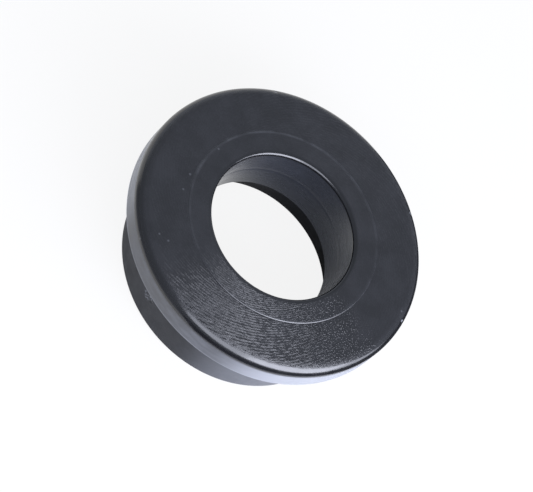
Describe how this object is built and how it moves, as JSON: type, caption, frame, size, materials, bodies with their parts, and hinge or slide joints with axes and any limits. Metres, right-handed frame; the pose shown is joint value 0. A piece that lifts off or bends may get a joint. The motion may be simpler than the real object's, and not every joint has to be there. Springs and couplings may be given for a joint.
{
  "type": "flanged bushing",
  "caption": "Round black plastic bushing with a wide flange, a short sleeve and a stepped through bore; lines a hole and guides a shaft.",
  "frame": {"origin": "middle of the sleeve's end, on the bore axis, where the part stands", "axes": "+Z along the bore axis, from the sleeve's end towards the flange face"},
  "size_m": [0.05, 0.05, 0.0183],
  "materials": {
    "black_plastic": "satin moulded black plastic with a fine circular grain on the flange face"
  },
  "bodies": {
    "root": {"bushing": "black_plastic"}
  },
  "joints": []
}
